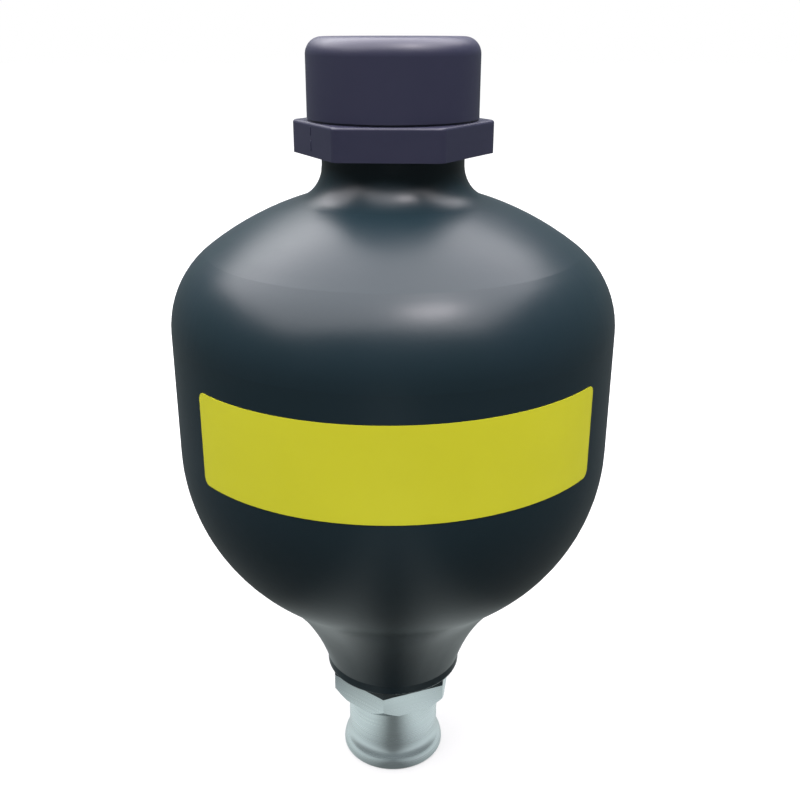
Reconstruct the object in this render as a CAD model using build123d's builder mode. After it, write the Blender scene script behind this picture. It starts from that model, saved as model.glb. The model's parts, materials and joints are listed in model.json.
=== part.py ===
from build123d import *
import os
from math import acos, atan2, cos, degrees, hypot, radians, sin, sqrt, tan

# Hydraulic accumulator with a rubber bladder, all sizes in millimetres.
# The origin is the centre of the port nose's lower face. +Z runs up the axis, -Y is the front.

# Pressure shell
shell_diameter = 114.0
shell_wall = 6.0
belt_height = 32.2             # straight cylinder between the two domes
top_dome_rise = 35.2
top_knuckle = 24.2             # radius where the upper dome leaves the belt
lower_dome_rise = 53.0         # depth the lower dome would have without its neck
lower_knuckle = 51.5
throat_radius = 65.9           # hollow sweep from the lower dome into the neck
lip_wall = 2.2                 # of the neck round the seal gland at the port end
lip_land = 2.9                 # straight land above the neck's lower face
lip_round = 0.7
dome_above_lip = 72.8          # belt's lower edge above the neck's lower face
inner_edge_round = 3.0
neck_wall = 7.7                # of the gas neck, round the stem
gas_neck_fillet = 8.9
gas_neck_top = 51.4            # neck top above the belt's upper edge
gas_seat_rim = 0.5889          # flat seat inside the dome, past the stem's flange
neck_mouth_chamfer = 0.8

# Fluid port body
nose_length = 21.2
nose_radius = 13.3
bead_rise = 1.65               # how far the flared end stands out of the nose
bead_height = 6.6
bead_land = 1.1
bead_round = 1.0
nose_bore_radius = 9.0         # M18 x 1.5 inside thread, measured at its root
nose_bore_depth = 14.0
nose_bore_chamfer = 1.0
port_hex_shoulder = 1.0        # how far the hexagon's flats stand out of the thread
port_hex_height = 9.4
port_hex_turn = -98.7          # direction of one corner, degrees from +X
port_hex_cone = 2.4            # height of the turned cone under the hexagon
port_hex_foot_step = 0.6       # edge of the cone's foot, outside the flats
port_thread_radius = 15.0
port_thread_length = 17.4
port_pilot_step = 0.5
port_pilot_length = 9.4
passage_radius = 8.2
web_height = 5.0
web_above_hex = 2.6            # underside of the guide web, below the neck's lower face
web_hole_count = 6
web_hole_wall = 0.5            # left on both sides of a hole
seat_cone_depth = 2.8
port_edge_chamfer = 0.5

# Seals of the fluid port
gland_depth = 3.4
gland_width = 2.2
port_ring_wire = 1.05
backup_ring_height = 1.1

# Poppet valve in the port
poppet_travel = 4.0
poppet_stem_radius = 2.5
poppet_head_lap = 1.5          # the head's rim past the seat
poppet_head_height = 3.0
poppet_crown = 1.4
poppet_plug_height = 3.0
poppet_plug_room = 0.5
bush_wall = 1.45
poppet_washer_rim = 1.9
poppet_washer_height = 1.2
poppet_nut_wall = 1.5
poppet_nut_height = 4.0
pin_below_nut = 1.4
split_pin_radius = 0.55
split_pin_stand = 1.7          # how far each end stands out of the stem
split_pin_head_radius = 1.0
stem_tail = 1.8
poppet_end_chamfer = 0.4
poppet_spring_room = 2.5       # from the stem to the middle of the wire
poppet_spring_wire = 0.55
poppet_spring_turns = 6

# Bladder
bladder_wall = 2.5
bladder_clearance = 0.4
bladder_over_poppet = 0.6
bladder_bottom_knuckle = 30.0
bladder_pad = 1.5              # extra thickness at the bottom, over the poppet
bladder_collar_wall = 2.2

# Gas stem, bonded into the bladder
stem_wall = 4.0                # outside the gas valve's shank
stem_flange_rim = 3.6
stem_flange_height = 4.0
stem_bore_radius = 2.5
stem_above_nut = 0.6
stem_washer_rim = 3.6
stem_washer_height = 1.5
stem_nut_wall = 2.0
stem_nut_height = 4.0
stem_ring_wire = 0.8
stem_chamfer = 0.5

# Gas valve
valve_shank_radius = 6.0
valve_shank_length = 10.4
valve_hex_shoulder = 1.0
valve_hex_height = 2.4
valve_snout_radius = 5.0
valve_snout_length = 5.3
valve_mouth_radius = 1.9
valve_chamber_radius = 3.2
valve_roof = 5.7               # snout top down to the seat inside
valve_pin_radius = 0.9
valve_pin_recess = 0.3
valve_head_room = 0.4
valve_head_height = 1.4
valve_seal_height = 0.8
valve_tail_radius = 1.2
valve_tail_stop = 0.62         # from the tail's end down to the retainer
valve_spring_inset = 0.5       # from the head's edge to the middle of the wire
valve_spring_wire = 0.3
valve_spring_turns = 7
retainer_height = 1.4
retainer_inset = 0.56          # from the shank's end up to the retainer
retainer_hole_room = 0.5
valve_ring_wire = 0.7
valve_chamfer = 0.5
pocket_room = 0.4              # under the valve's shank

# Protective cap
neck_thread_relief = 0.2       # M35 x 1.5 thread, its crest under the neck's surface
cap_thread_pitch = 1.5
cap_thread_turns = 5
cap_wall = 3.5                 # outside the thread
cap_headroom = 1.8             # above the gas valve
cap_top_round = 4.0
cap_roof = 2.6
cap_hex_stand = 0.6            # how far the flats stand out of the round body
cap_hex_height = 7.8
cap_hex_turn = -123.0          # direction of one corner, degrees from +X
cap_corner_round = 2.2
cap_edge_round = 0.7
cap_groove_height = 0.5
cap_groove_depth = 0.35
cap_skirt = 1.1                # plain rim that reaches down past the neck's thread
gasket_height = 1.5
gasket_room = 0.8              # round the stem's washer

# Label
label_height = 23.6
label_above_belt = 1.9         # lower edge, from the belt's lower edge
label_left = -52.0             # degrees from the front, as seen
label_right = 55.0
label_tilt = 0.5
label_thickness = 0.1
label_corner = 2.0

# Clearances and shop practice
running = 0.05                 # radial, between a shaft and its guide
push_fit = 0.02                # radial, between parts that stay put
face_gap = 0.02                # between flat faces of parts that move apart
skirt_room = 0.2               # between the cap's plain rim and the neck
spring_end_gap = 0.04
thread_depth = 0.613           # depth of a metric thread, as a share of its pitch
hex_chamfer_angle = 30.0
cut_past = 1.0                 # how far a cutter runs past the stock

# Worked-out places
shell_radius = shell_diameter / 2
stem_radius = valve_shank_radius + stem_wall
stem_flange_radius = stem_radius + stem_flange_rim
gas_neck_radius = stem_radius + neck_wall
gland_radius = port_thread_radius + gland_width
lip_radius = gland_radius + lip_wall
port_hex_flats = 2 * (port_thread_radius + port_hex_shoulder)
port_hex_foot_radius = port_hex_flats / 2 + port_hex_foot_step
port_pilot_radius = port_thread_radius - port_pilot_step
seat_radius = passage_radius + seat_cone_depth
lip_z = nose_length + port_hex_height
belt_bottom = lip_z + dome_above_lip
belt_top = belt_bottom + belt_height
neck_top = belt_top + gas_neck_top
neck_bore = stem_radius + push_fit
port_bore = port_thread_radius + push_fit
port_shank_top = lip_z + port_thread_length
port_top = port_shank_top + port_pilot_length
web_bottom = lip_z - web_above_hex
web_top = web_bottom + web_height
gland_middle = (port_thread_radius + gland_radius) / 2
bush_radius = poppet_stem_radius + running + bush_wall
web_hole_circle = (bush_radius + passage_radius) / 2
web_hole_radius = (passage_radius - bush_radius) / 2 - web_hole_wall
poppet_head_radius = seat_radius + poppet_head_lap
poppet_plug_radius = seat_radius - poppet_plug_room
poppet_washer_radius = poppet_stem_radius + poppet_washer_rim
poppet_nut_flats = 2 * (poppet_stem_radius + poppet_nut_wall)
poppet_spring_radius = poppet_stem_radius + poppet_spring_room
split_pin_length = 2 * (poppet_stem_radius + split_pin_stand)
poppet_face = port_top + poppet_travel + face_gap
poppet_plug_bottom = poppet_face - poppet_plug_height
poppet_top = poppet_face + poppet_head_height + poppet_crown
poppet_washer_top = web_bottom - face_gap
poppet_washer_bottom = poppet_washer_top - poppet_washer_height
poppet_nut_bottom = poppet_washer_bottom - poppet_nut_height
split_pin_z = poppet_nut_bottom - pin_below_nut
stem_end = split_pin_z - stem_tail
stem_washer_radius = stem_radius + stem_washer_rim
stem_nut_flats = 2 * (stem_radius + stem_nut_wall)
washer_top = neck_top + stem_washer_height
nut_top = washer_top + stem_nut_height
stem_top = nut_top + stem_above_nut
stem_recess_depth = 2 * stem_ring_wire
stem_recess_radius = stem_radius + stem_recess_depth + 2 * running
stem_recess_middle = (stem_radius + stem_recess_radius) / 2
valve_hex_flats = 2 * (valve_shank_radius + valve_hex_shoulder)
valve_head_radius = valve_chamber_radius - valve_head_room
valve_spring_radius = valve_head_radius - valve_spring_inset
retainer_hole_radius = valve_tail_radius + retainer_hole_room
valve_hex_top = stem_top + valve_hex_height
valve_top = valve_hex_top + valve_snout_length
valve_bottom = stem_top - valve_shank_length
valve_seat_z = valve_top - valve_roof
retainer_bottom = valve_bottom + retainer_inset
retainer_top = retainer_bottom + retainer_height
valve_recess_depth = 2 * valve_ring_wire
valve_recess_radius = valve_shank_radius + valve_recess_depth + 2 * running
valve_recess_middle = (valve_shank_radius + valve_recess_radius) / 2
cap_thread_radius = gas_neck_radius - neck_thread_relief
cap_radius = cap_thread_radius + cap_wall
cap_hex_flats = 2 * (cap_radius + cap_hex_stand)
gasket_inner_radius = stem_washer_radius + gasket_room
neck_thread_foot = neck_top - cap_thread_pitch * cap_thread_turns
cap_thread_minor = cap_thread_radius - thread_depth * cap_thread_pitch
cap_bottom = neck_thread_foot - cap_skirt
cap_top = valve_top + cap_headroom + cap_roof
cap_hex_top = cap_bottom + cap_hex_height
ledge_z = neck_top + gasket_height


def section(*corners):
    """A closed half section through the axis, from straight lines."""
    with BuildSketch(Plane.XZ) as face:
        with BuildLine():
            Polyline(*corners, close=True)
        make_face()
    return face.sketch


def ring_section(inner, outer, bottom, top):
    return section((inner, bottom), (outer, bottom), (outer, top), (inner, top))


def crown_radius(radius, knuckle, rise):
    """Radius of a dome's shallow middle, tangent to the knuckle round its edge."""
    return (radius**2 - 2 * radius * knuckle + rise**2) / (2 * (rise - knuckle))


def dome_joint(radius, knuckle, rise):
    """Where knuckle and crown meet: distance from the axis and height over the dome's foot."""
    crown = crown_radius(radius, knuckle, rise)
    lean = atan2(crown - rise, radius - knuckle)
    return (crown * cos(lean), rise - crown + crown * sin(lean))


def vessel_section(radius, bottom_dome, top_dome, flat_top):
    """Half section of a domed space round the belt, cut off level at flat_top.

    Each dome is given as its knuckle radius and its rise.
    """
    top_joint = dome_joint(radius, *top_dome)
    bottom_joint = dome_joint(radius, *bottom_dome)
    with BuildSketch(Plane.XZ) as face:
        with BuildLine():
            side_bottom = (radius, belt_bottom)
            side_top = (radius, belt_top)
            upper = (top_joint[0], belt_top + top_joint[1])
            lower = (bottom_joint[0], belt_bottom - bottom_joint[1])
            summit = (0, belt_top + top_dome[1])
            foot = (0, belt_bottom - bottom_dome[1])
            Line(side_bottom, side_top)
            RadiusArc(side_top, upper, -top_dome[0])
            RadiusArc(upper, summit, -crown_radius(radius, *top_dome))
            Line(summit, foot)
            RadiusArc(foot, lower, -crown_radius(radius, *bottom_dome))
            RadiusArc(lower, side_bottom, -bottom_dome[0])
        make_face()
        with Locations((0, flat_top + radius)):
            Rectangle(2 * radius, 2 * radius, mode=Mode.SUBTRACT)
    return face.sketch


def turned_chamfer(flats, bottom, top):
    """What a lathe takes off the two ends of a hexagon, as a half section."""
    past = flats / sqrt(3) + cut_past
    drop = (past - flats / 2) * tan(radians(hex_chamfer_angle))
    with BuildSketch(Plane.XZ) as cut:
        for end, way in ((bottom, 1), (top, -1)):
            with BuildLine():
                Polyline((flats / 2, end), (past, end), (past, end + way * drop), close=True)
            make_face()
    return cut.sketch


def coil_spring(radius, wire, turns, bottom, top):
    """A coil spring of round wire between two levels."""
    foot = bottom + wire + spring_end_gap
    height = top - wire - spring_end_gap - foot
    with BuildPart() as spring:
        with BuildLine():
            path = Helix(height / turns, height, radius, center=(0, 0, foot))
        with BuildSketch(Plane(origin=path @ 0, z_dir=path % 0)):
            Circle(wire)
        sweep(path=path, is_frenet=True)
    return spring


os.makedirs("parts", exist_ok=True)

# Shell: one forged and necked steel bottle. The throat is an arc from the neck's land,
# tangent to the lower dome's knuckle.
top_dome = (top_knuckle, top_dome_rise)
lower_dome = (lower_knuckle, lower_dome_rise)
inner_top_dome = (top_knuckle - shell_wall, top_dome_rise - shell_wall)
inner_lower_dome = (lower_knuckle - shell_wall, lower_dome_rise - shell_wall)
inner_crown = crown_radius(shell_radius - shell_wall, *inner_top_dome)
gas_seat_drop = inner_crown - sqrt(inner_crown**2 - (stem_flange_radius + gas_seat_rim) ** 2)
gas_seat_z = belt_top + inner_top_dome[1] - gas_seat_drop
land_top = (lip_radius, lip_z + lip_land)
knuckle_middle = shell_radius - lower_knuckle
land_aside = lip_radius - knuckle_middle
land_below = belt_bottom - land_top[1]
land_away = hypot(land_aside, land_below)
throat_away = lower_knuckle + throat_radius
swing = acos((land_away**2 + throat_away**2 - throat_radius**2) / (2 * land_away * throat_away))
meet = atan2(land_aside, land_below) + swing
throat_start = (
    knuckle_middle + lower_knuckle * sin(meet),
    belt_bottom - lower_knuckle * cos(meet),
)
top_joint = dome_joint(shell_radius, *top_dome)
top_joint_place = (top_joint[0], belt_top + top_joint[1])

with BuildPart() as shell:
    with BuildSketch(Plane.XZ):
        with BuildLine():
            Line((0, lip_z), (lip_radius, lip_z))
            Line((lip_radius, lip_z), land_top)
            RadiusArc(land_top, throat_start, throat_radius)
            RadiusArc(throat_start, (shell_radius, belt_bottom), -lower_knuckle)
            Line((shell_radius, belt_bottom), (shell_radius, belt_top))
            RadiusArc((shell_radius, belt_top), top_joint_place, -top_knuckle)
            RadiusArc(
                top_joint_place,
                (0, belt_top + top_dome_rise),
                -crown_radius(shell_radius, *top_dome),
            )
            Line((0, belt_top + top_dome_rise), (0, lip_z))
        make_face()
    revolve(axis=Axis.Z)
    fillet(shell.edges().group_by(Axis.Z)[0], lip_round)
    with BuildSketch(Plane.XY.offset(belt_top)):
        Circle(gas_neck_radius)
    extrude(amount=gas_neck_top)
    rings = shell.edges().filter_by(lambda edge: edge.is_closed)
    neck_rings = rings.filter_by_position(Axis.Z, belt_top + cut_past, neck_top - cut_past)
    fillet(neck_rings.sort_by(SortBy.LENGTH)[0], gas_neck_fillet)
    # The hollow, with a flat seat for the gas stem, and the bores through both necks
    cavity = vessel_section(shell_radius - shell_wall, inner_lower_dome, inner_top_dome, gas_seat_z)
    revolve(cavity, axis=Axis.Z, mode=Mode.SUBTRACT)
    with Locations((0, 0, neck_top)):
        Hole(neck_bore, neck_top - belt_top)
    with BuildSketch(Plane.XY.offset(lip_z)):
        Circle(port_bore)
    extrude(amount=belt_bottom - lip_z, mode=Mode.SUBTRACT)
    rings = shell.edges().filter_by(lambda edge: edge.is_closed)
    rings = rings.filter_by_position(Axis.Z, lip_z + cut_past, belt_bottom - cut_past)
    fillet(rings.sort_by(SortBy.LENGTH)[0], inner_edge_round)
    # The seal gland in the port end, the ring recess in the gas end and its thread
    revolve(
        ring_section(0, gland_radius, lip_z, lip_z + gland_depth),
        axis=Axis.Z,
        mode=Mode.SUBTRACT,
    )
    revolve(
        ring_section(0, stem_recess_radius, neck_top - stem_recess_depth, neck_top),
        axis=Axis.Z,
        mode=Mode.SUBTRACT,
    )
    revolve(
        ring_section(cap_thread_minor, gas_neck_radius + cut_past, neck_thread_foot, neck_top),
        axis=Axis.Z,
        mode=Mode.SUBTRACT,
    )
    rings = shell.edges().filter_by(lambda edge: edge.is_closed)
    mouth = rings.filter_by_position(Axis.Z, neck_top - push_fit, neck_top + push_fit)
    chamfer(mouth.sort_by(SortBy.LENGTH)[-1], neck_mouth_chamfer)
shell.part.label = "shell"

# Fluid port body: hexagon, flared nose and threaded shank, turned from one bar
with BuildPart() as fluid_port_body:
    bead_foot = (nose_radius + bead_rise, bead_land)
    bead_middle = (nose_radius + bead_rise / 2, bead_land + bead_height / 2)
    bead_top = (nose_radius, bead_land + bead_height)
    with BuildSketch(Plane.XZ):
        with BuildLine():
            Line((0, 0), (bead_foot[0], 0))
            Line((bead_foot[0], 0), bead_foot)
            TangentArc(bead_foot, bead_middle, tangent=(0, 1))
            TangentArc(bead_top, bead_middle, tangent=(0, -1))
            Line(bead_top, (nose_radius, nose_length))
            Line((nose_radius, nose_length), (0, nose_length))
            Line((0, nose_length), (0, 0))
        make_face()
    revolve(axis=Axis.Z)
    fillet(fluid_port_body.edges().group_by(Axis.Z)[0], bead_round)
    with BuildSketch(Plane.XY.offset(nose_length)):
        RegularPolygon(port_hex_flats / 2, 6, major_radius=False, rotation=port_hex_turn)
    extrude(amount=port_hex_height - face_gap)
    port_hex_corner = port_hex_flats / sqrt(3)
    cone_slope = port_hex_cone / (port_hex_corner - port_hex_foot_radius)
    cone_reach = port_hex_corner + cut_past
    revolve(
        section(
            (port_hex_foot_radius, nose_length),
            (cone_reach, nose_length),
            (cone_reach, nose_length + cone_slope * (cone_reach - port_hex_foot_radius)),
        ),
        axis=Axis.Z,
        mode=Mode.SUBTRACT,
    )
    revolve(ring_section(0, port_thread_radius, lip_z - face_gap, port_shank_top), axis=Axis.Z)
    revolve(ring_section(0, port_pilot_radius, port_shank_top, port_top), axis=Axis.Z)
    chamfer(fluid_port_body.edges().group_by(Axis.Z)[-1], port_edge_chamfer)
    # The inside thread, the passage on both sides of the guide web and the valve seat
    revolve(
        ring_section(0, nose_bore_radius, 0, nose_bore_depth), axis=Axis.Z, mode=Mode.SUBTRACT
    )
    chamfer(
        fluid_port_body.edges().group_by(Axis.Z)[0].sort_by(SortBy.LENGTH)[0],
        nose_bore_chamfer,
    )
    revolve(
        ring_section(0, passage_radius, nose_bore_depth, web_bottom),
        axis=Axis.Z,
        mode=Mode.SUBTRACT,
    )
    revolve(
        section(
            (0, web_top),
            (passage_radius, web_top),
            (passage_radius, port_top - seat_cone_depth),
            (seat_radius, port_top),
            (0, port_top),
        ),
        axis=Axis.Z,
        mode=Mode.SUBTRACT,
    )
    with BuildSketch(Plane.XY.offset(web_bottom)):
        Circle(bush_radius + push_fit)
        with PolarLocations(web_hole_circle, web_hole_count):
            Circle(web_hole_radius)
    extrude(amount=web_height, mode=Mode.SUBTRACT)
fluid_port_body.part.label = "fluid_port_body"

# Seals between the port body and the neck
with BuildPart() as port_o_ring:
    with BuildSketch(Plane.XZ):
        with Locations((gland_middle, lip_z + port_ring_wire)):
            Circle(port_ring_wire)
    revolve(axis=Axis.Z)
port_o_ring.part.label = "port_o_ring"

with BuildPart() as port_backup_ring:
    backup_bottom = lip_z + 2 * port_ring_wire + push_fit
    revolve(
        ring_section(
            port_thread_radius + running,
            gland_radius - running,
            backup_bottom,
            backup_bottom + backup_ring_height,
        ),
        axis=Axis.Z,
    )
port_backup_ring.part.label = "port_backup_ring"

# Poppet valve, shown open as its spring holds it
with BuildPart() as poppet_bush:
    revolve(
        ring_section(poppet_stem_radius + running, bush_radius, web_bottom, web_top), axis=Axis.Z
    )
poppet_bush.part.label = "poppet_bush"

with BuildPart() as poppet:
    head_top = poppet_face + poppet_head_height
    head_round = (poppet_head_radius**2 + poppet_crown**2) / (2 * poppet_crown)
    with BuildSketch(Plane.XZ):
        with BuildLine():
            Polyline(
                (0, stem_end),
                (poppet_stem_radius, stem_end),
                (poppet_stem_radius, poppet_plug_bottom),
                (poppet_plug_radius - poppet_plug_height, poppet_plug_bottom),
                (poppet_plug_radius, poppet_face),
                (poppet_head_radius, poppet_face),
                (poppet_head_radius, head_top),
            )
            RadiusArc((poppet_head_radius, head_top), (0, poppet_top), -head_round)
            Line((0, poppet_top), (0, stem_end))
        make_face()
    revolve(axis=Axis.Z)
    chamfer(poppet.edges().group_by(Axis.Z)[0], poppet_end_chamfer)
    with BuildSketch(Plane.YZ):
        with Locations((0, split_pin_z)):
            Circle(split_pin_radius + push_fit)
    extrude(amount=poppet_stem_radius + cut_past, both=True, mode=Mode.SUBTRACT)
poppet.part.label = "poppet"

with BuildPart() as poppet_washer:
    revolve(
        ring_section(
            poppet_stem_radius + running,
            poppet_washer_radius,
            poppet_washer_bottom,
            poppet_washer_top,
        ),
        axis=Axis.Z,
    )
poppet_washer.part.label = "poppet_washer"

with BuildPart() as poppet_lock_nut:
    with BuildSketch(Plane.XY.offset(poppet_nut_bottom)):
        RegularPolygon(poppet_nut_flats / 2, 6, major_radius=False)
        Circle(poppet_stem_radius + push_fit, mode=Mode.SUBTRACT)
    extrude(amount=poppet_nut_height)
    revolve(
        turned_chamfer(poppet_nut_flats, poppet_nut_bottom, poppet_washer_bottom),
        axis=Axis.Z,
        mode=Mode.SUBTRACT,
    )
poppet_lock_nut.part.label = "poppet_lock_nut"

with BuildPart() as poppet_split_pin:
    with BuildSketch(Plane.YZ.offset(-split_pin_length / 2)):
        with Locations((0, split_pin_z)):
            Circle(split_pin_radius)
    extrude(amount=split_pin_length)
    with Locations((-split_pin_length / 2, 0, split_pin_z)):
        Sphere(split_pin_head_radius)
poppet_split_pin.part.label = "poppet_split_pin"

poppet_spring = coil_spring(
    poppet_spring_radius,
    poppet_spring_wire,
    poppet_spring_turns,
    web_top,
    poppet_plug_bottom,
)
poppet_spring.part.label = "poppet_spring"

# Bladder: a moulded rubber bag with a thick collar round the stem's flange
with BuildPart() as bladder:
    outside = shell_wall + bladder_clearance
    bag_radius = shell_radius - outside
    bag_top = gas_seat_z - push_fit
    bag_depth = belt_bottom - poppet_top - bladder_over_poppet
    bag_top_dome = (top_knuckle - outside, top_dome_rise - outside)
    bag_bottom_dome = (bladder_bottom_knuckle, bag_depth)
    inner_top = (bag_top_dome[0] - bladder_wall, bag_top_dome[1] - bladder_wall)
    inner_bottom = (
        bladder_bottom_knuckle - bladder_wall,
        bag_depth - bladder_wall - bladder_pad,
    )
    revolve(vessel_section(bag_radius, bag_bottom_dome, bag_top_dome, bag_top), axis=Axis.Z)
    collar_radius = stem_flange_radius + bladder_collar_wall
    collar_bottom = bag_top - stem_flange_height - bladder_collar_wall
    with BuildSketch(Plane.XZ) as hollow:
        add(
            vessel_section(
                bag_radius - bladder_wall, inner_bottom, inner_top, bag_top - bladder_wall
            )
        )
        with Locations((0, collar_bottom + collar_radius)):
            Rectangle(2 * collar_radius, 2 * collar_radius, mode=Mode.SUBTRACT)
    revolve(hollow.sketch, axis=Axis.Z, mode=Mode.SUBTRACT)
    flange_pocket = collar_bottom + bladder_collar_wall - push_fit
    revolve(
        ring_section(0, stem_flange_radius + push_fit, flange_pocket, bag_top),
        axis=Axis.Z,
        mode=Mode.SUBTRACT,
    )
    revolve(
        ring_section(0, stem_bore_radius, collar_bottom, bag_top), axis=Axis.Z, mode=Mode.SUBTRACT
    )
bladder.part.label = "bladder"

# Gas stem with its lock nut, washer and ring
with BuildPart() as gas_stem:
    flange_top = gas_seat_z - push_fit
    flange_bottom = flange_top - stem_flange_height
    revolve(ring_section(0, stem_flange_radius, flange_bottom, flange_top), axis=Axis.Z)
    revolve(ring_section(0, stem_radius, flange_bottom, stem_top), axis=Axis.Z)
    chamfer(gas_stem.edges().group_by(Axis.Z)[-1], stem_chamfer)
    with Locations((0, 0, stem_top)):
        Hole(stem_bore_radius)
    revolve(
        ring_section(0, valve_shank_radius + push_fit, valve_bottom - pocket_room, stem_top),
        axis=Axis.Z,
        mode=Mode.SUBTRACT,
    )
    revolve(
        ring_section(0, valve_recess_radius, stem_top - valve_recess_depth, stem_top),
        axis=Axis.Z,
        mode=Mode.SUBTRACT,
    )
gas_stem.part.label = "gas_stem"

with BuildPart() as stem_o_ring:
    with BuildSketch(Plane.XZ):
        with Locations((stem_recess_middle, neck_top - stem_recess_depth + stem_ring_wire)):
            Circle(stem_ring_wire)
    revolve(axis=Axis.Z)
stem_o_ring.part.label = "stem_o_ring"

with BuildPart() as stem_washer:
    revolve(ring_section(neck_bore, stem_washer_radius, neck_top, washer_top), axis=Axis.Z)
stem_washer.part.label = "stem_washer"

with BuildPart() as stem_lock_nut:
    with BuildSketch(Plane.XY.offset(washer_top)):
        RegularPolygon(stem_nut_flats / 2, 6, major_radius=False)
        Circle(neck_bore, mode=Mode.SUBTRACT)
    extrude(amount=stem_nut_height)
    revolve(
        turned_chamfer(stem_nut_flats, washer_top, nut_top), axis=Axis.Z, mode=Mode.SUBTRACT
    )
stem_lock_nut.part.label = "stem_lock_nut"

# Gas valve
with BuildPart() as gas_valve_body:
    revolve(ring_section(0, valve_shank_radius, valve_bottom, stem_top), axis=Axis.Z)
    with BuildSketch(Plane.XY.offset(stem_top)):
        RegularPolygon(valve_hex_flats / 2, 6, major_radius=False)
    extrude(amount=valve_hex_height)
    revolve(
        turned_chamfer(valve_hex_flats, stem_top, valve_hex_top), axis=Axis.Z, mode=Mode.SUBTRACT
    )
    revolve(ring_section(0, valve_snout_radius, valve_hex_top, valve_top), axis=Axis.Z)
    chamfer(gas_valve_body.edges().group_by(Axis.Z)[-1], valve_chamfer)
    with Locations((0, 0, valve_top)):
        Hole(valve_mouth_radius)
    revolve(
        ring_section(0, valve_chamber_radius, valve_bottom, valve_seat_z),
        axis=Axis.Z,
        mode=Mode.SUBTRACT,
    )
gas_valve_body.part.label = "gas_valve_body"

with BuildPart() as gas_valve_o_ring:
    with BuildSketch(Plane.XZ):
        with Locations((valve_recess_middle, stem_top - valve_ring_wire)):
            Circle(valve_ring_wire)
    revolve(axis=Axis.Z)
gas_valve_o_ring.part.label = "gas_valve_o_ring"

seal_top = valve_seat_z - face_gap
seal_bottom = seal_top - valve_seal_height
head_bottom = seal_bottom - valve_head_height
with BuildPart() as valve_pin:
    revolve(
        ring_section(0, valve_pin_radius, head_bottom, valve_top - valve_pin_recess), axis=Axis.Z
    )
    revolve(ring_section(0, valve_head_radius, head_bottom, seal_bottom), axis=Axis.Z)
    revolve(
        ring_section(0, valve_tail_radius, retainer_top + valve_tail_stop, head_bottom),
        axis=Axis.Z,
    )
valve_pin.part.label = "valve_pin"

with BuildPart() as valve_pin_seal:
    revolve(
        ring_section(valve_pin_radius + push_fit, valve_head_radius, seal_bottom, seal_top),
        axis=Axis.Z,
    )
valve_pin_seal.part.label = "valve_pin_seal"

with BuildPart() as valve_spring_retainer:
    revolve(
        ring_section(
            retainer_hole_radius,
            valve_chamber_radius - push_fit,
            retainer_bottom,
            retainer_top,
        ),
        axis=Axis.Z,
    )
valve_spring_retainer.part.label = "valve_spring_retainer"

valve_spring = coil_spring(
    valve_spring_radius,
    valve_spring_wire,
    valve_spring_turns,
    retainer_top,
    head_bottom,
)
valve_spring.part.label = "valve_spring"

# Protective cap: one moulding, round above and a hexagon below, with a plain rim
# that reaches over the neck under its thread
with BuildPart() as protective_cap:
    with BuildSketch(Plane.XY.offset(cap_bottom)):
        RegularPolygon(cap_hex_flats / 2, 6, major_radius=False, rotation=cap_hex_turn)
        fillet(vertices(), cap_corner_round)
    extrude(amount=cap_hex_height)
    fillet(protective_cap.edges().group_by(Axis.Z)[-1], cap_edge_round)
    revolve(ring_section(0, cap_radius, cap_bottom, cap_top), axis=Axis.Z)
    fillet(protective_cap.edges().group_by(Axis.Z)[-1], cap_top_round)
    revolve(
        ring_section(
            cap_radius - cap_groove_depth,
            cap_radius + cap_groove_depth,
            cap_hex_top,
            cap_hex_top + cap_groove_height,
        ),
        axis=Axis.Z,
        mode=Mode.SUBTRACT,
    )
    rim_bore = gas_neck_radius + skirt_room
    rim_top = neck_thread_foot + skirt_room
    thread_bore = cap_thread_radius + running
    cavity_bore = cap_thread_minor + running
    revolve(
        section(
            (0, cap_bottom),
            (rim_bore, cap_bottom),
            (rim_bore, rim_top),
            (thread_bore, rim_top),
            (thread_bore, ledge_z),
            (cavity_bore, ledge_z),
            (cavity_bore, cap_top - cap_roof),
            (0, cap_top - cap_roof),
        ),
        axis=Axis.Z,
        mode=Mode.SUBTRACT,
    )
protective_cap.part.label = "protective_cap"

with BuildPart() as cap_gasket:
    revolve(
        ring_section(
            gasket_inner_radius, cap_thread_radius - running, neck_top + face_gap, ledge_z - face_gap
        ),
        axis=Axis.Z,
    )
cap_gasket.part.label = "cap_gasket"

# Label: a film sticker wrapped round the front of the belt, set a little out of level
with BuildPart() as label:
    film_inner = shell_radius + push_fit
    film_middle = film_inner + label_thickness / 2
    label_bottom = belt_bottom + label_above_belt
    label_top = label_bottom + label_height
    overlong = 2 * label_height
    start = radians(label_left - 90)
    start_plane = Plane((0, 0, 0), (cos(start), sin(start), 0), (sin(start), -cos(start), 0))
    with BuildSketch(start_plane):
        with Locations((film_middle, (label_bottom + label_top) / 2)):
            Rectangle(label_thickness, overlong)
    revolve(axis=Axis.Z, revolution_arc=label_right - label_left)
    upright = (-sin(radians(label_tilt)), 0, cos(radians(label_tilt)))
    split(bisect_by=Plane((0, 0, label_bottom), z_dir=upright), keep=Keep.TOP)
    split(bisect_by=Plane((0, 0, label_top), z_dir=upright), keep=Keep.BOTTOM)
    corners = label.edges().filter_by(lambda edge: edge.length < 2 * label_thickness)
    fillet(corners, label_corner)
label.part.label = "label"

pieces = [
    shell,
    protective_cap,
    fluid_port_body,
    label,
    cap_gasket,
    gas_stem,
    stem_o_ring,
    stem_washer,
    stem_lock_nut,
    gas_valve_body,
    gas_valve_o_ring,
    valve_pin,
    valve_pin_seal,
    valve_spring,
    valve_spring_retainer,
    bladder,
    port_o_ring,
    port_backup_ring,
    poppet,
    poppet_bush,
    poppet_spring,
    poppet_washer,
    poppet_lock_nut,
    poppet_split_pin,
]
for piece in pieces:
    export_step(piece.part, f"parts/{piece.part.label}.step")
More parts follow.
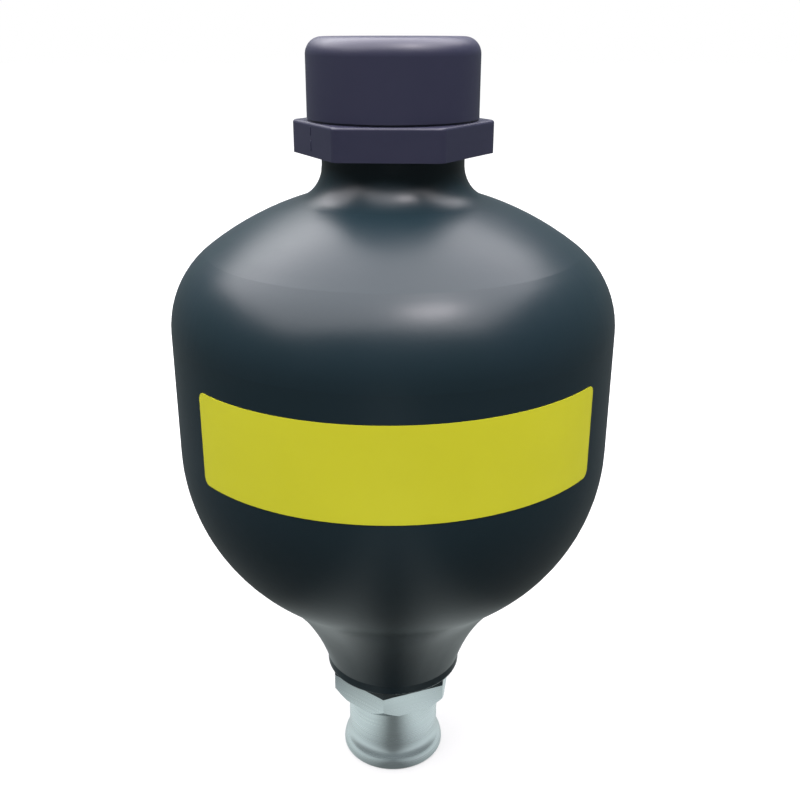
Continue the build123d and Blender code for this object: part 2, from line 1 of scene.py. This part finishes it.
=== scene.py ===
import bmesh
import bpy
import json
import math
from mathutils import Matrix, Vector


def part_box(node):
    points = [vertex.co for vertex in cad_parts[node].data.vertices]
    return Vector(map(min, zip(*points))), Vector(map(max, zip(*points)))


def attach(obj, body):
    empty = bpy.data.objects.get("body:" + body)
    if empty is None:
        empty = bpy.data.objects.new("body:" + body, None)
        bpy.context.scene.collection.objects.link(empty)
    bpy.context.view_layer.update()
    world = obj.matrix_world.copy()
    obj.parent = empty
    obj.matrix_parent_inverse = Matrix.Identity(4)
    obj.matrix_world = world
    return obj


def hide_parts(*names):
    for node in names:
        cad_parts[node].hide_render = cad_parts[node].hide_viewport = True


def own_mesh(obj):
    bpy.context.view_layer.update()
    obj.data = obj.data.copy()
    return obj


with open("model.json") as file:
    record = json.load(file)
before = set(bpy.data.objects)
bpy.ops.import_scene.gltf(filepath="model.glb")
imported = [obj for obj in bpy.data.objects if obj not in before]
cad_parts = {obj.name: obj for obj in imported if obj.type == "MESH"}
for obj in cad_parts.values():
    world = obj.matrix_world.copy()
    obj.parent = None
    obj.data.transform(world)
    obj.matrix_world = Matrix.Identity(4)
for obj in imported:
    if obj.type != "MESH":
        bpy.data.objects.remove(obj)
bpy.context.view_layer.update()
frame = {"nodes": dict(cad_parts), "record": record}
bpy.ops.object.select_all(action="DESELECT")
nodes = frame["nodes"]

MM = 0.001

# Camera, set for the photograph's 800 by 800 pixels
IMAGE_SIZE = 800
FOCAL_PIXELS = 968.3
AXIS_PIXEL = 393.1
SENSOR_WIDTH = 36
CAMERA_PITCH = math.radians(21.04)
CAMERA_AWAY = 245.1 * MM
CAMERA_HEIGHT = 207.1 * MM

# Places on the accumulator, read from the frame
shell_low, shell_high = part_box("shell")
port_low, port_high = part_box("fluid_port_body")
cap_low, cap_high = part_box("protective_cap")
valve_low, valve_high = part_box("gas_valve_body")
gasket_low, gasket_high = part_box("cap_gasket")
LIP_HEIGHT = shell_low.z
NECK_TOP = shell_high.z

# Threads
CAP_PITCH = 1.5 * MM
CAP_TURNS = 5
CAP_BORE = 17.55 * MM
CAP_THREAD_CREST = 16.75 * MM
NECK_THREAD_ROOT = 16.58 * MM
NECK_THREAD_CREST = 17.42 * MM
NECK_THREAD_FOOT = NECK_TOP - CAP_PITCH * CAP_TURNS
PORT_PITCH = 1.5 * MM
PORT_TURNS = 7
PORT_BORE = 9.0 * MM
PORT_THREAD_CREST = 8.2 * MM
PORT_THREAD_FOOT = 1.6 * MM
SNOUT_PITCH = 0.8 * MM
SNOUT_TURNS = 4
SNOUT_RADIUS = 5.0 * MM
SNOUT_THREAD_CREST = 5.35 * MM
SNOUT_THREAD_FOOT = valve_high.z - 4.6 * MM
THREAD_STEPS = 60

# Springs, the wire given by its radius
VALVE_WIRE = 0.3 * MM
VALVE_TURNS = 7
POPPET_WIRE = 0.55 * MM
POPPET_TURNS = 6

# Mould seam on the cap's hexagon
CAP_FLAT = 21.6 * MM
SEAM_FACE = math.radians(-153)
SEAM_ALONG = -0.5 * MM
SEAM_WIDTH = 0.34 * MM
SEAM_RISE = 0.14 * MM
SEAM_SINK = 0.1 * MM
SEAM_STRETCHES = ((1.2 * MM, 3.9 * MM), (4.9 * MM, 7.0 * MM))

# Where the black paint ends on the port's hexagon
PAINT_EDGE = 28.1 * MM
PAINT_EDGE_WANDER = 0.12 * MM
PAINT_EDGE_SOFTNESS = 0.06 * MM

# How white the surroundings are in a reflection
MIRRORED_WHITE = 0.1


def point_at(thing, target):
    direction = Vector(target) - thing.location
    thing.rotation_euler = direction.to_track_quat("-Z", "Y").to_euler()


# Studio


def add_camera():
    data = bpy.data.cameras.new("camera")
    data.sensor_width = SENSOR_WIDTH
    data.lens = FOCAL_PIXELS / IMAGE_SIZE * SENSOR_WIDTH
    data.shift_x = (IMAGE_SIZE / 2 - AXIS_PIXEL) / IMAGE_SIZE
    data.clip_start = 1 * MM
    camera = bpy.data.objects.new("camera", data)
    bpy.context.scene.collection.objects.link(camera)
    camera.location = (0, -CAMERA_AWAY, CAMERA_HEIGHT)
    camera.rotation_euler = (math.pi / 2 - CAMERA_PITCH, 0, 0)
    bpy.context.scene.camera = camera


def add_softbox(name, place, target, width, depth, brightness, colour=(1, 1, 1)):
    """An area lamp whose face has the given brightness, where 1 is white."""
    data = bpy.data.lights.new(name, "AREA")
    data.shape = "RECTANGLE"
    data.size = width
    data.size_y = depth
    data.energy = brightness * math.pi * width * depth
    data.color = colour
    lamp = bpy.data.objects.new(name, data)
    bpy.context.scene.collection.objects.link(lamp)
    lamp.location = place
    point_at(lamp, target)


def seen_directly(tree):
    """How white the surroundings are: fully for the camera, partly in a reflection."""
    path = tree.nodes.new("ShaderNodeLightPath")
    mirrored = tree.nodes.new("ShaderNodeMath")
    mirrored.operation = "MAXIMUM"
    tree.links.new(path.outputs["Is Glossy Ray"], mirrored.inputs[0])
    tree.links.new(path.outputs["Is Transmission Ray"], mirrored.inputs[1])
    share = tree.nodes.new("ShaderNodeMath")
    share.operation = "MULTIPLY"
    share.inputs[1].default_value = MIRRORED_WHITE
    tree.links.new(mirrored.outputs["Value"], share.inputs[0])
    both = tree.nodes.new("ShaderNodeMath")
    both.operation = "MAXIMUM"
    tree.links.new(path.outputs["Is Camera Ray"], both.inputs[0])
    tree.links.new(share.outputs["Value"], both.inputs[1])
    return both.outputs["Value"]


def add_world():
    """White where it is seen, a calm grey room for the light that it gives."""
    world = bpy.data.worlds.new("studio")
    bpy.context.scene.world = world
    world.use_nodes = True
    tree = world.node_tree
    tree.nodes.clear()
    output = tree.nodes.new("ShaderNodeOutputWorld")
    seen = tree.nodes.new("ShaderNodeBackground")
    seen.inputs["Color"].default_value = (1, 1, 1, 1)
    seen.inputs["Strength"].default_value = 1
    room = tree.nodes.new("ShaderNodeBackground")
    room.inputs["Color"].default_value = (0.7, 0.95, 1.0, 1)
    room.inputs["Strength"].default_value = 0.16
    mix = tree.nodes.new("ShaderNodeMixShader")
    tree.links.new(seen_directly(tree), mix.inputs["Fac"])
    tree.links.new(room.outputs["Background"], mix.inputs[1])
    tree.links.new(seen.outputs["Background"], mix.inputs[2])
    tree.links.new(mix.outputs["Shader"], output.inputs["Surface"])


def ramp(tree, value, start, end, low, high):
    """A value that runs from low to high as another runs from start to end."""
    ranged = tree.nodes.new("ShaderNodeMapRange")
    for name, number in zip(("From Min", "From Max", "To Min", "To Max"), (start, end, low, high)):
        ranged.inputs[name].default_value = number
    tree.links.new(value, ranged.inputs["Value"])
    return ranged.outputs["Result"]


def add_floor():
    """A pale floor that fades to plain white away from the object and keeps its shadow; reflections
    see a painted sheen on it, with a painted shade in front and painted highlights aside.
    """
    bpy.ops.mesh.primitive_plane_add(size=12, location=(0, 0, 0))
    floor = bpy.context.object
    floor.name = "floor"
    material = bpy.data.materials.new("pale_floor")
    material.use_nodes = True
    tree = material.node_tree
    tree.nodes.clear()
    output = tree.nodes.new("ShaderNodeOutputMaterial")
    place = tree.nodes.new("ShaderNodeTexCoord")
    away = tree.nodes.new("ShaderNodeVectorMath")
    away.operation = "LENGTH"
    tree.links.new(place.outputs["Object"], away.inputs[0])
    fade = ramp(tree, away.outputs["Value"], 0.05, 0.4, 0.62, 1.0)
    paint = tree.nodes.new("ShaderNodeBsdfDiffuse")
    paint.inputs["Color"].default_value = (0.16, 0.17, 0.17, 1)
    pale = tree.nodes.new("ShaderNodeBsdfDiffuse")
    pale.inputs["Color"].default_value = (0.2, 0.2, 0.2, 1)
    glow = tree.nodes.new("ShaderNodeEmission")
    tree.links.new(fade, glow.inputs["Strength"])
    white = tree.nodes.new("ShaderNodeAddShader")
    tree.links.new(glow.outputs["Emission"], white.inputs[0])
    tree.links.new(pale.outputs["BSDF"], white.inputs[1])
    split = tree.nodes.new("ShaderNodeSeparateXYZ")
    tree.links.new(place.outputs["Object"], split.inputs["Vector"])
    aside = tree.nodes.new("ShaderNodeMath")
    aside.operation = "ABSOLUTE"
    tree.links.new(split.outputs["X"], aside.inputs[0])
    # Painted reflection: the sheen that reflections see is darker in a strip in front of the object
    # (painted shade), bright on either side (painted highlights), and fades far aside
    painted_front_shade = ramp(tree, aside.outputs["Value"], 0.004, 0.024, 0.2, 0.9)
    outer = ramp(tree, aside.outputs["Value"], 0.03, 0.06, 1.0, 0.22)
    both = tree.nodes.new("ShaderNodeMath")
    both.operation = "MULTIPLY"
    tree.links.new(painted_front_shade, both.inputs[0])
    tree.links.new(outer, both.inputs[1])
    sheen = tree.nodes.new("ShaderNodeEmission")
    sheen.inputs["Color"].default_value = (0.9, 1, 1, 1)
    tree.links.new(both.outputs["Value"], sheen.inputs["Strength"])
    path = tree.nodes.new("ShaderNodeLightPath")
    mirrored = tree.nodes.new("ShaderNodeMath")
    mirrored.operation = "MAXIMUM"
    tree.links.new(path.outputs["Is Glossy Ray"], mirrored.inputs[0])
    tree.links.new(path.outputs["Is Transmission Ray"], mirrored.inputs[1])
    first = tree.nodes.new("ShaderNodeMixShader")
    tree.links.new(mirrored.outputs["Value"], first.inputs["Fac"])
    tree.links.new(paint.outputs["BSDF"], first.inputs[1])
    tree.links.new(sheen.outputs["Emission"], first.inputs[2])
    second = tree.nodes.new("ShaderNodeMixShader")
    tree.links.new(path.outputs["Is Camera Ray"], second.inputs["Fac"])
    tree.links.new(first.outputs["Shader"], second.inputs[1])
    tree.links.new(white.outputs["Shader"], second.inputs[2])
    tree.links.new(second.outputs["Shader"], output.inputs["Surface"])
    floor.data.materials.append(material)
    bpy.ops.object.select_all(action="DESELECT")


# Materials


class Finish:
    """A node material, built step by step round one principled shader."""

    def __init__(self, name, colour, roughness, metallic=0.0, specular=0.5):
        self.material = bpy.data.materials.new(name)
        self.material.use_nodes = True
        self.tree = self.material.node_tree
        self.shader = self.tree.nodes["Principled BSDF"]
        self.shader.inputs["Base Color"].default_value = (*colour, 1)
        self.shader.inputs["Roughness"].default_value = roughness
        self.shader.inputs["Metallic"].default_value = metallic
        self.shader.inputs["Specular IOR Level"].default_value = specular

    def node(self, kind, **inputs):
        made = self.tree.nodes.new(kind)
        for name, value in inputs.items():
            made.inputs[name.replace("_", " ")].default_value = value
        return made

    def link(self, source, target):
        self.tree.links.new(source, target)

    def math(self, operation, first, second):
        made = self.tree.nodes.new("ShaderNodeMath")
        made.operation = operation
        for socket, value in zip(made.inputs, (first, second)):
            if isinstance(value, (int, float)):
                socket.default_value = value
            else:
                self.link(value, socket)
        return made.outputs["Value"]

    def place(self):
        return self.node("ShaderNodeTexCoord").outputs["Object"]

    def height(self):
        split = self.node("ShaderNodeSeparateXYZ")
        self.link(self.place(), split.inputs["Vector"])
        return split.outputs["Z"]

    def noise(self, scale, detail=3.0, stretch=(1, 1, 1)):
        mapping = self.node("ShaderNodeMapping")
        mapping.inputs["Scale"].default_value = stretch
        self.link(self.place(), mapping.inputs["Vector"])
        texture = self.node("ShaderNodeTexNoise", Scale=scale, Detail=detail)
        self.link(mapping.outputs["Vector"], texture.inputs["Vector"])
        return texture.outputs["Fac"]

    def spread(self, value, low, high, start=0.0, end=1.0):
        """Stretches a value that runs from start to end between two numbers."""
        ranged = self.node("ShaderNodeMapRange")
        ranged.inputs["From Min"].default_value = start
        ranged.inputs["From Max"].default_value = end
        ranged.inputs["To Min"].default_value = low
        ranged.inputs["To Max"].default_value = high
        self.link(value, ranged.inputs["Value"])
        return ranged.outputs["Result"]

    def colours(self, value, first, second):
        """A colour between two, each given as a colour or as another socket."""
        mix = self.tree.nodes.new("ShaderNodeMix")
        mix.data_type = "RGBA"
        ends = [socket for socket in mix.inputs if socket.type == "RGBA"]
        for socket, colour in zip(ends, (first, second)):
            if isinstance(colour, tuple):
                socket.default_value = (*colour, 1)
            else:
                self.link(colour, socket)
        self.link(value, mix.inputs["Factor"])
        return [socket for socket in mix.outputs if socket.type == "RGBA"][0]

    def set(self, name, value):
        self.link(value, self.shader.inputs[name])

    def bump(self, value, height, strength=1.0):
        raised = self.node("ShaderNodeBump", Strength=strength, Distance=height)
        self.link(value, raised.inputs["Height"])
        earlier = self.shader.inputs["Normal"]
        if earlier.is_linked:
            self.link(earlier.links[0].from_socket, raised.inputs["Normal"])
        self.link(raised.outputs["Normal"], self.shader.inputs["Normal"])


PAINT_COLOUR = (0.004, 0.011, 0.014)
PAINT_TINT = (0.007, 0.014, 0.019)
METAL_COLOUR = (0.66, 0.72, 0.71)
METAL_TINT = (0.60, 0.64, 0.68)


def black_paint():
    """Sprayed semi-gloss black with a fine orange peel and a faint blue cast."""
    finish = Finish("black_paint", PAINT_COLOUR, 0.33, specular=0.22)
    finish.set("Base Color", finish.colours(finish.noise(35), PAINT_COLOUR, PAINT_TINT))
    finish.set("Roughness", finish.spread(finish.noise(60), 0.29, 0.38))
    finish.bump(finish.noise(700), 0.012 * MM)
    finish.bump(finish.noise(90), 0.02 * MM)
    return finish


def cap_plastic():
    """Moulded dark plastic with a fine eroded grain."""
    dark = (0.014, 0.015, 0.031)
    light = (0.019, 0.019, 0.037)
    finish = Finish("cap_plastic", dark, 0.42, specular=0.3)
    finish.set("Base Color", finish.colours(finish.noise(80), dark, light))
    finish.set("Roughness", finish.spread(finish.noise(120), 0.37, 0.48))
    finish.bump(finish.noise(3200), 0.014 * MM)
    return finish


def port_metal():
    """Turned steel, bare on the nose and black where the bottle's spray reached it."""
    finish = Finish("port_steel", METAL_COLOUR, 0.3, metallic=1.0, specular=0.28)
    wander = finish.spread(finish.noise(260), -PAINT_EDGE_WANDER, PAINT_EDGE_WANDER)
    level = finish.math("ADD", finish.height(), wander)
    painted = finish.spread(level, 0, 1, PAINT_EDGE, PAINT_EDGE + PAINT_EDGE_SOFTNESS)
    metal = finish.colours(finish.noise(45), METAL_COLOUR, METAL_TINT)
    finish.set("Base Color", finish.colours(painted, metal, PAINT_COLOUR))
    finish.set("Metallic", finish.math("SUBTRACT", 1.0, painted))
    turned = finish.noise(650, stretch=(0, 0, 1))
    finish.set("Roughness", finish.spread(turned, 0.2, 0.36))
    finish.bump(finish.noise(2600, stretch=(0, 0, 1)), 0.003 * MM)
    finish.bump(painted, 0.05 * MM)
    return finish


def label_film():
    """Bare yellow film, a little uneven in tone."""
    deep = (0.40, 0.39, 0.008)
    bright = (0.45, 0.44, 0.014)
    finish = Finish("label_film", deep, 0.4, specular=0.35)
    finish.set("Base Color", finish.colours(finish.noise(40), deep, bright))
    finish.set("Roughness", finish.spread(finish.noise(200), 0.36, 0.46))
    finish.bump(finish.noise(60), 0.03 * MM)
    return finish


def moulded_rubber(name, roughness):
    finish = Finish(name, (0.02, 0.02, 0.021), roughness, specular=0.35)
    tone = finish.colours(finish.noise(150), (0.016, 0.016, 0.017), (0.028, 0.028, 0.028))
    finish.set("Base Color", tone)
    finish.set("Roughness", finish.spread(finish.noise(300), roughness - 0.06, roughness + 0.08))
    finish.bump(finish.noise(1800), 0.02 * MM)
    return finish


def turned_metal(name, dark, light, roughness):
    """A plated or turned metal with rings of fine tool marks round the axis."""
    finish = Finish(name, light, roughness, metallic=1.0)
    finish.set("Base Color", finish.colours(finish.noise(220), dark, light))
    marks = finish.noise(900, stretch=(0, 0, 1))
    finish.set("Roughness", finish.spread(marks, roughness - 0.07, roughness + 0.09))
    finish.bump(marks, 0.005 * MM)
    return finish


def white_ring():
    finish = Finish("white_ring", (0.78, 0.78, 0.75), 0.4)
    finish.set("Base Color", finish.colours(finish.noise(200), (0.76, 0.76, 0.72), (0.8, 0.8, 0.78)))
    finish.bump(finish.noise(1500), 0.006 * MM)
    return finish


def make_finishes():
    return {
        "black_paint": black_paint(),
        "cap_plastic": cap_plastic(),
        "port_steel": port_metal(),
        "label_yellow": label_film(),
        "plated_steel": turned_metal("plated_steel", (0.56, 0.57, 0.55), (0.66, 0.66, 0.62), 0.32),
        "brass": turned_metal("brass", (0.66, 0.46, 0.16), (0.76, 0.56, 0.24), 0.28),
        "spring_steel": turned_metal("spring_steel", (0.4, 0.4, 0.42), (0.5, 0.5, 0.52), 0.3),
        "bladder_rubber": moulded_rubber("bladder_rubber", 0.58),
        "seal_rubber": moulded_rubber("seal_rubber", 0.42),
        "white_ring": white_ring(),
    }


def paint_nodes(finishes):
    for part in frame["record"]["subparts"]:
        piece = nodes[part["node"]]
        piece.data.materials.clear()
        piece.data.materials.append(finishes[part["material_slot"]].material)


# Pieces modelled here


def select_vertices(piece, wanted):
    """In edit mode, selects the vertices whose place passes the test."""
    mesh = bmesh.from_edit_mesh(piece.data)
    for vertex in mesh.verts:
        vertex.select = wanted(vertex.co)
    mesh.select_flush_mode()
    bmesh.update_edit_mesh(piece.data)


def finish_piece(piece, finish, body):
    piece.data.materials.append(finish.material)
    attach(piece, body)
    bpy.ops.object.select_all(action="DESELECT")


def add_thread(name, root, crest, foot, pitch, turns):
    """A right-hand thread ridge from a blunt profile, closed and run out at both ends.

    The crest lies outside the root on a bolt and inside it in a bore.
    """
    root_width = 0.74 * pitch
    middle = (root + crest) / 2
    depth = abs(crest - root)
    bpy.ops.mesh.primitive_plane_add(
        size=1, location=(middle, 0, foot + pitch / 2), rotation=(math.pi / 2, 0, 0)
    )
    ridge = bpy.context.object
    ridge.name = name
    ridge.scale = (depth, root_width, 1)
    bpy.ops.object.transform_apply(location=True, rotation=True, scale=True)
    bpy.ops.object.mode_set(mode="EDIT")
    outward = crest > root
    select_vertices(ridge, lambda place: (place.x > middle) == outward)
    bpy.ops.transform.resize(value=(1, 1, 0.24))
    bpy.ops.mesh.select_all(action="SELECT")
    bpy.ops.mesh.delete(type="ONLY_FACE")
    bpy.ops.object.mode_set(mode="OBJECT")
    screw = ridge.modifiers.new("screw", "SCREW")
    screw.axis = "Z"
    screw.screw_offset = pitch
    screw.iterations = turns - 1
    screw.steps = THREAD_STEPS
    screw.render_steps = THREAD_STEPS
    screw.use_merge_vertices = False
    bpy.ops.object.modifier_apply(modifier=screw.name)
    bpy.ops.object.mode_set(mode="EDIT")
    bpy.ops.mesh.select_all(action="SELECT")
    bpy.ops.mesh.remove_doubles(threshold=1e-7)
    bpy.ops.mesh.fill_holes(sides=4)
    for end in (foot + pitch / 2, foot + pitch / 2 + pitch * (turns - 1)):
        select_vertices(
            ridge,
            lambda place: place.x > 0 and abs(place.y) < 1e-6 and abs(place.z - end) < root_width,
        )
        bpy.ops.transform.resize(value=(0.2, 1, 0.3), center_override=(root, 0, end))
    bpy.ops.mesh.select_all(action="SELECT")
    bpy.ops.mesh.normals_make_consistent(inside=False)
    bpy.ops.object.mode_set(mode="OBJECT")
    bpy.ops.object.shade_smooth_by_angle(angle=math.radians(25))
    return ridge


def add_spring(node, wire, turns, finish):
    """A coil spring in the place of a node, with an even pitch."""
    low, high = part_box(node)
    radius = high.x - wire
    height = high.z - low.z
    bpy.ops.mesh.primitive_circle_add(
        vertices=14, radius=wire, location=(radius, 0, low.z + wire), rotation=(math.pi / 2, 0, 0)
    )
    coil = bpy.context.object
    coil.name = node + "_coil"
    bpy.ops.object.transform_apply(location=True, rotation=True, scale=True)
    screw = coil.modifiers.new("screw", "SCREW")
    screw.axis = "Z"
    screw.screw_offset = (height - 2 * wire) / turns
    screw.iterations = turns
    screw.steps = THREAD_STEPS
    screw.render_steps = THREAD_STEPS
    screw.use_merge_vertices = False
    bpy.ops.object.modifier_apply(modifier=screw.name)
    bpy.ops.object.mode_set(mode="EDIT")
    bpy.ops.mesh.select_all(action="SELECT")
    bpy.ops.mesh.remove_doubles(threshold=1e-7)
    bpy.ops.mesh.fill_holes(sides=14)
    bpy.ops.mesh.normals_make_consistent(inside=False)
    bpy.ops.object.mode_set(mode="OBJECT")
    bpy.ops.object.shade_smooth_by_angle(angle=math.radians(50))
    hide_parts(node)
    finish_piece(coil, finish, "bottle")
    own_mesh(coil)


def add_mould_seam():
    """The fine parting ridge on one flat of the cap's hexagon, broken at the gate."""
    normal = Vector((math.cos(SEAM_FACE), math.sin(SEAM_FACE), 0))
    along = Vector((-normal.y, normal.x, 0))
    strips = []
    for low, high in SEAM_STRETCHES:
        rise = (SEAM_RISE - SEAM_SINK) / 2
        middle = normal * (CAP_FLAT + rise) + along * SEAM_ALONG
        bpy.ops.mesh.primitive_cube_add(
            size=1,
            location=(middle.x, middle.y, cap_low.z + (low + high) / 2),
            rotation=(0, 0, SEAM_FACE),
        )
        strip = bpy.context.object
        strip.scale = (SEAM_RISE + SEAM_SINK, SEAM_WIDTH, high - low)
        bpy.ops.object.transform_apply(location=True, rotation=True, scale=True)
        bpy.ops.object.mode_set(mode="EDIT")
        select_vertices(strip, lambda place: place.dot(normal) > CAP_FLAT)
        bpy.ops.transform.resize(
            value=(0.5, 0.5, 0.9), orient_type="GLOBAL", center_override=tuple(
                normal * (CAP_FLAT + SEAM_RISE) + along * SEAM_ALONG
                + Vector((0, 0, cap_low.z + (low + high) / 2))
            )
        )
        bpy.ops.object.mode_set(mode="OBJECT")
        bevel = strip.modifiers.new("bevel", "BEVEL")
        bevel.width = 0.05 * MM
        bevel.segments = 2
        bpy.ops.object.modifier_apply(modifier=bevel.name)
        strips.append(strip)
    bpy.ops.object.select_all(action="DESELECT")
    for strip in strips:
        strip.select_set(True)
    bpy.context.view_layer.objects.active = strips[0]
    bpy.ops.object.join()
    seam = bpy.context.object
    seam.name = "cap_mould_seam"
    bpy.ops.object.shade_smooth_by_angle(angle=math.radians(35))
    return seam


def add_pieces(finishes):
    neck_thread = add_thread(
        "neck_thread", NECK_THREAD_ROOT, NECK_THREAD_CREST, NECK_THREAD_FOOT, CAP_PITCH, CAP_TURNS
    )
    finish_piece(neck_thread, finishes["black_paint"], "bottle")
    cap_thread = add_thread(
        "cap_thread",
        CAP_BORE,
        CAP_THREAD_CREST,
        NECK_THREAD_FOOT + CAP_PITCH / 2,
        CAP_PITCH,
        CAP_TURNS,
    )
    finish_piece(cap_thread, finishes["cap_plastic"], "cap")
    port_thread = add_thread(
        "port_thread", PORT_BORE, PORT_THREAD_CREST, PORT_THREAD_FOOT, PORT_PITCH, PORT_TURNS
    )
    finish_piece(port_thread, finishes["port_steel"], "bottle")
    snout_thread = add_thread(
        "charging_thread",
        SNOUT_RADIUS,
        SNOUT_THREAD_CREST,
        SNOUT_THREAD_FOOT,
        SNOUT_PITCH,
        SNOUT_TURNS,
    )
    finish_piece(snout_thread, finishes["brass"], "bottle")
    finish_piece(add_mould_seam(), finishes["cap_plastic"], "cap")
    add_spring("valve_spring", VALVE_WIRE, VALVE_TURNS, finishes["spring_steel"])
    add_spring("poppet_spring", POPPET_WIRE, POPPET_TURNS, finishes["spring_steel"])


add_camera()
add_world()
add_floor()
add_softbox("overhead", (-0.22, 0.06, 1.0), (-0.22, 0.06, 0), 2.2, 1.7, 7.5, (1, 0.96, 1))
add_softbox("front_right", (0.22, -0.32, 0.9), (0, 0, 0.14), 0.26, 0.18, 36, (1, 0.93, 0.97))
add_softbox("back_left", (-0.38, 0.62, 0.75), (0, 0, 0.14), 0.5, 0.4, 3)
finishes = make_finishes()
paint_nodes(finishes)
add_pieces(finishes)
bpy.context.scene.view_settings.view_transform = "Standard"
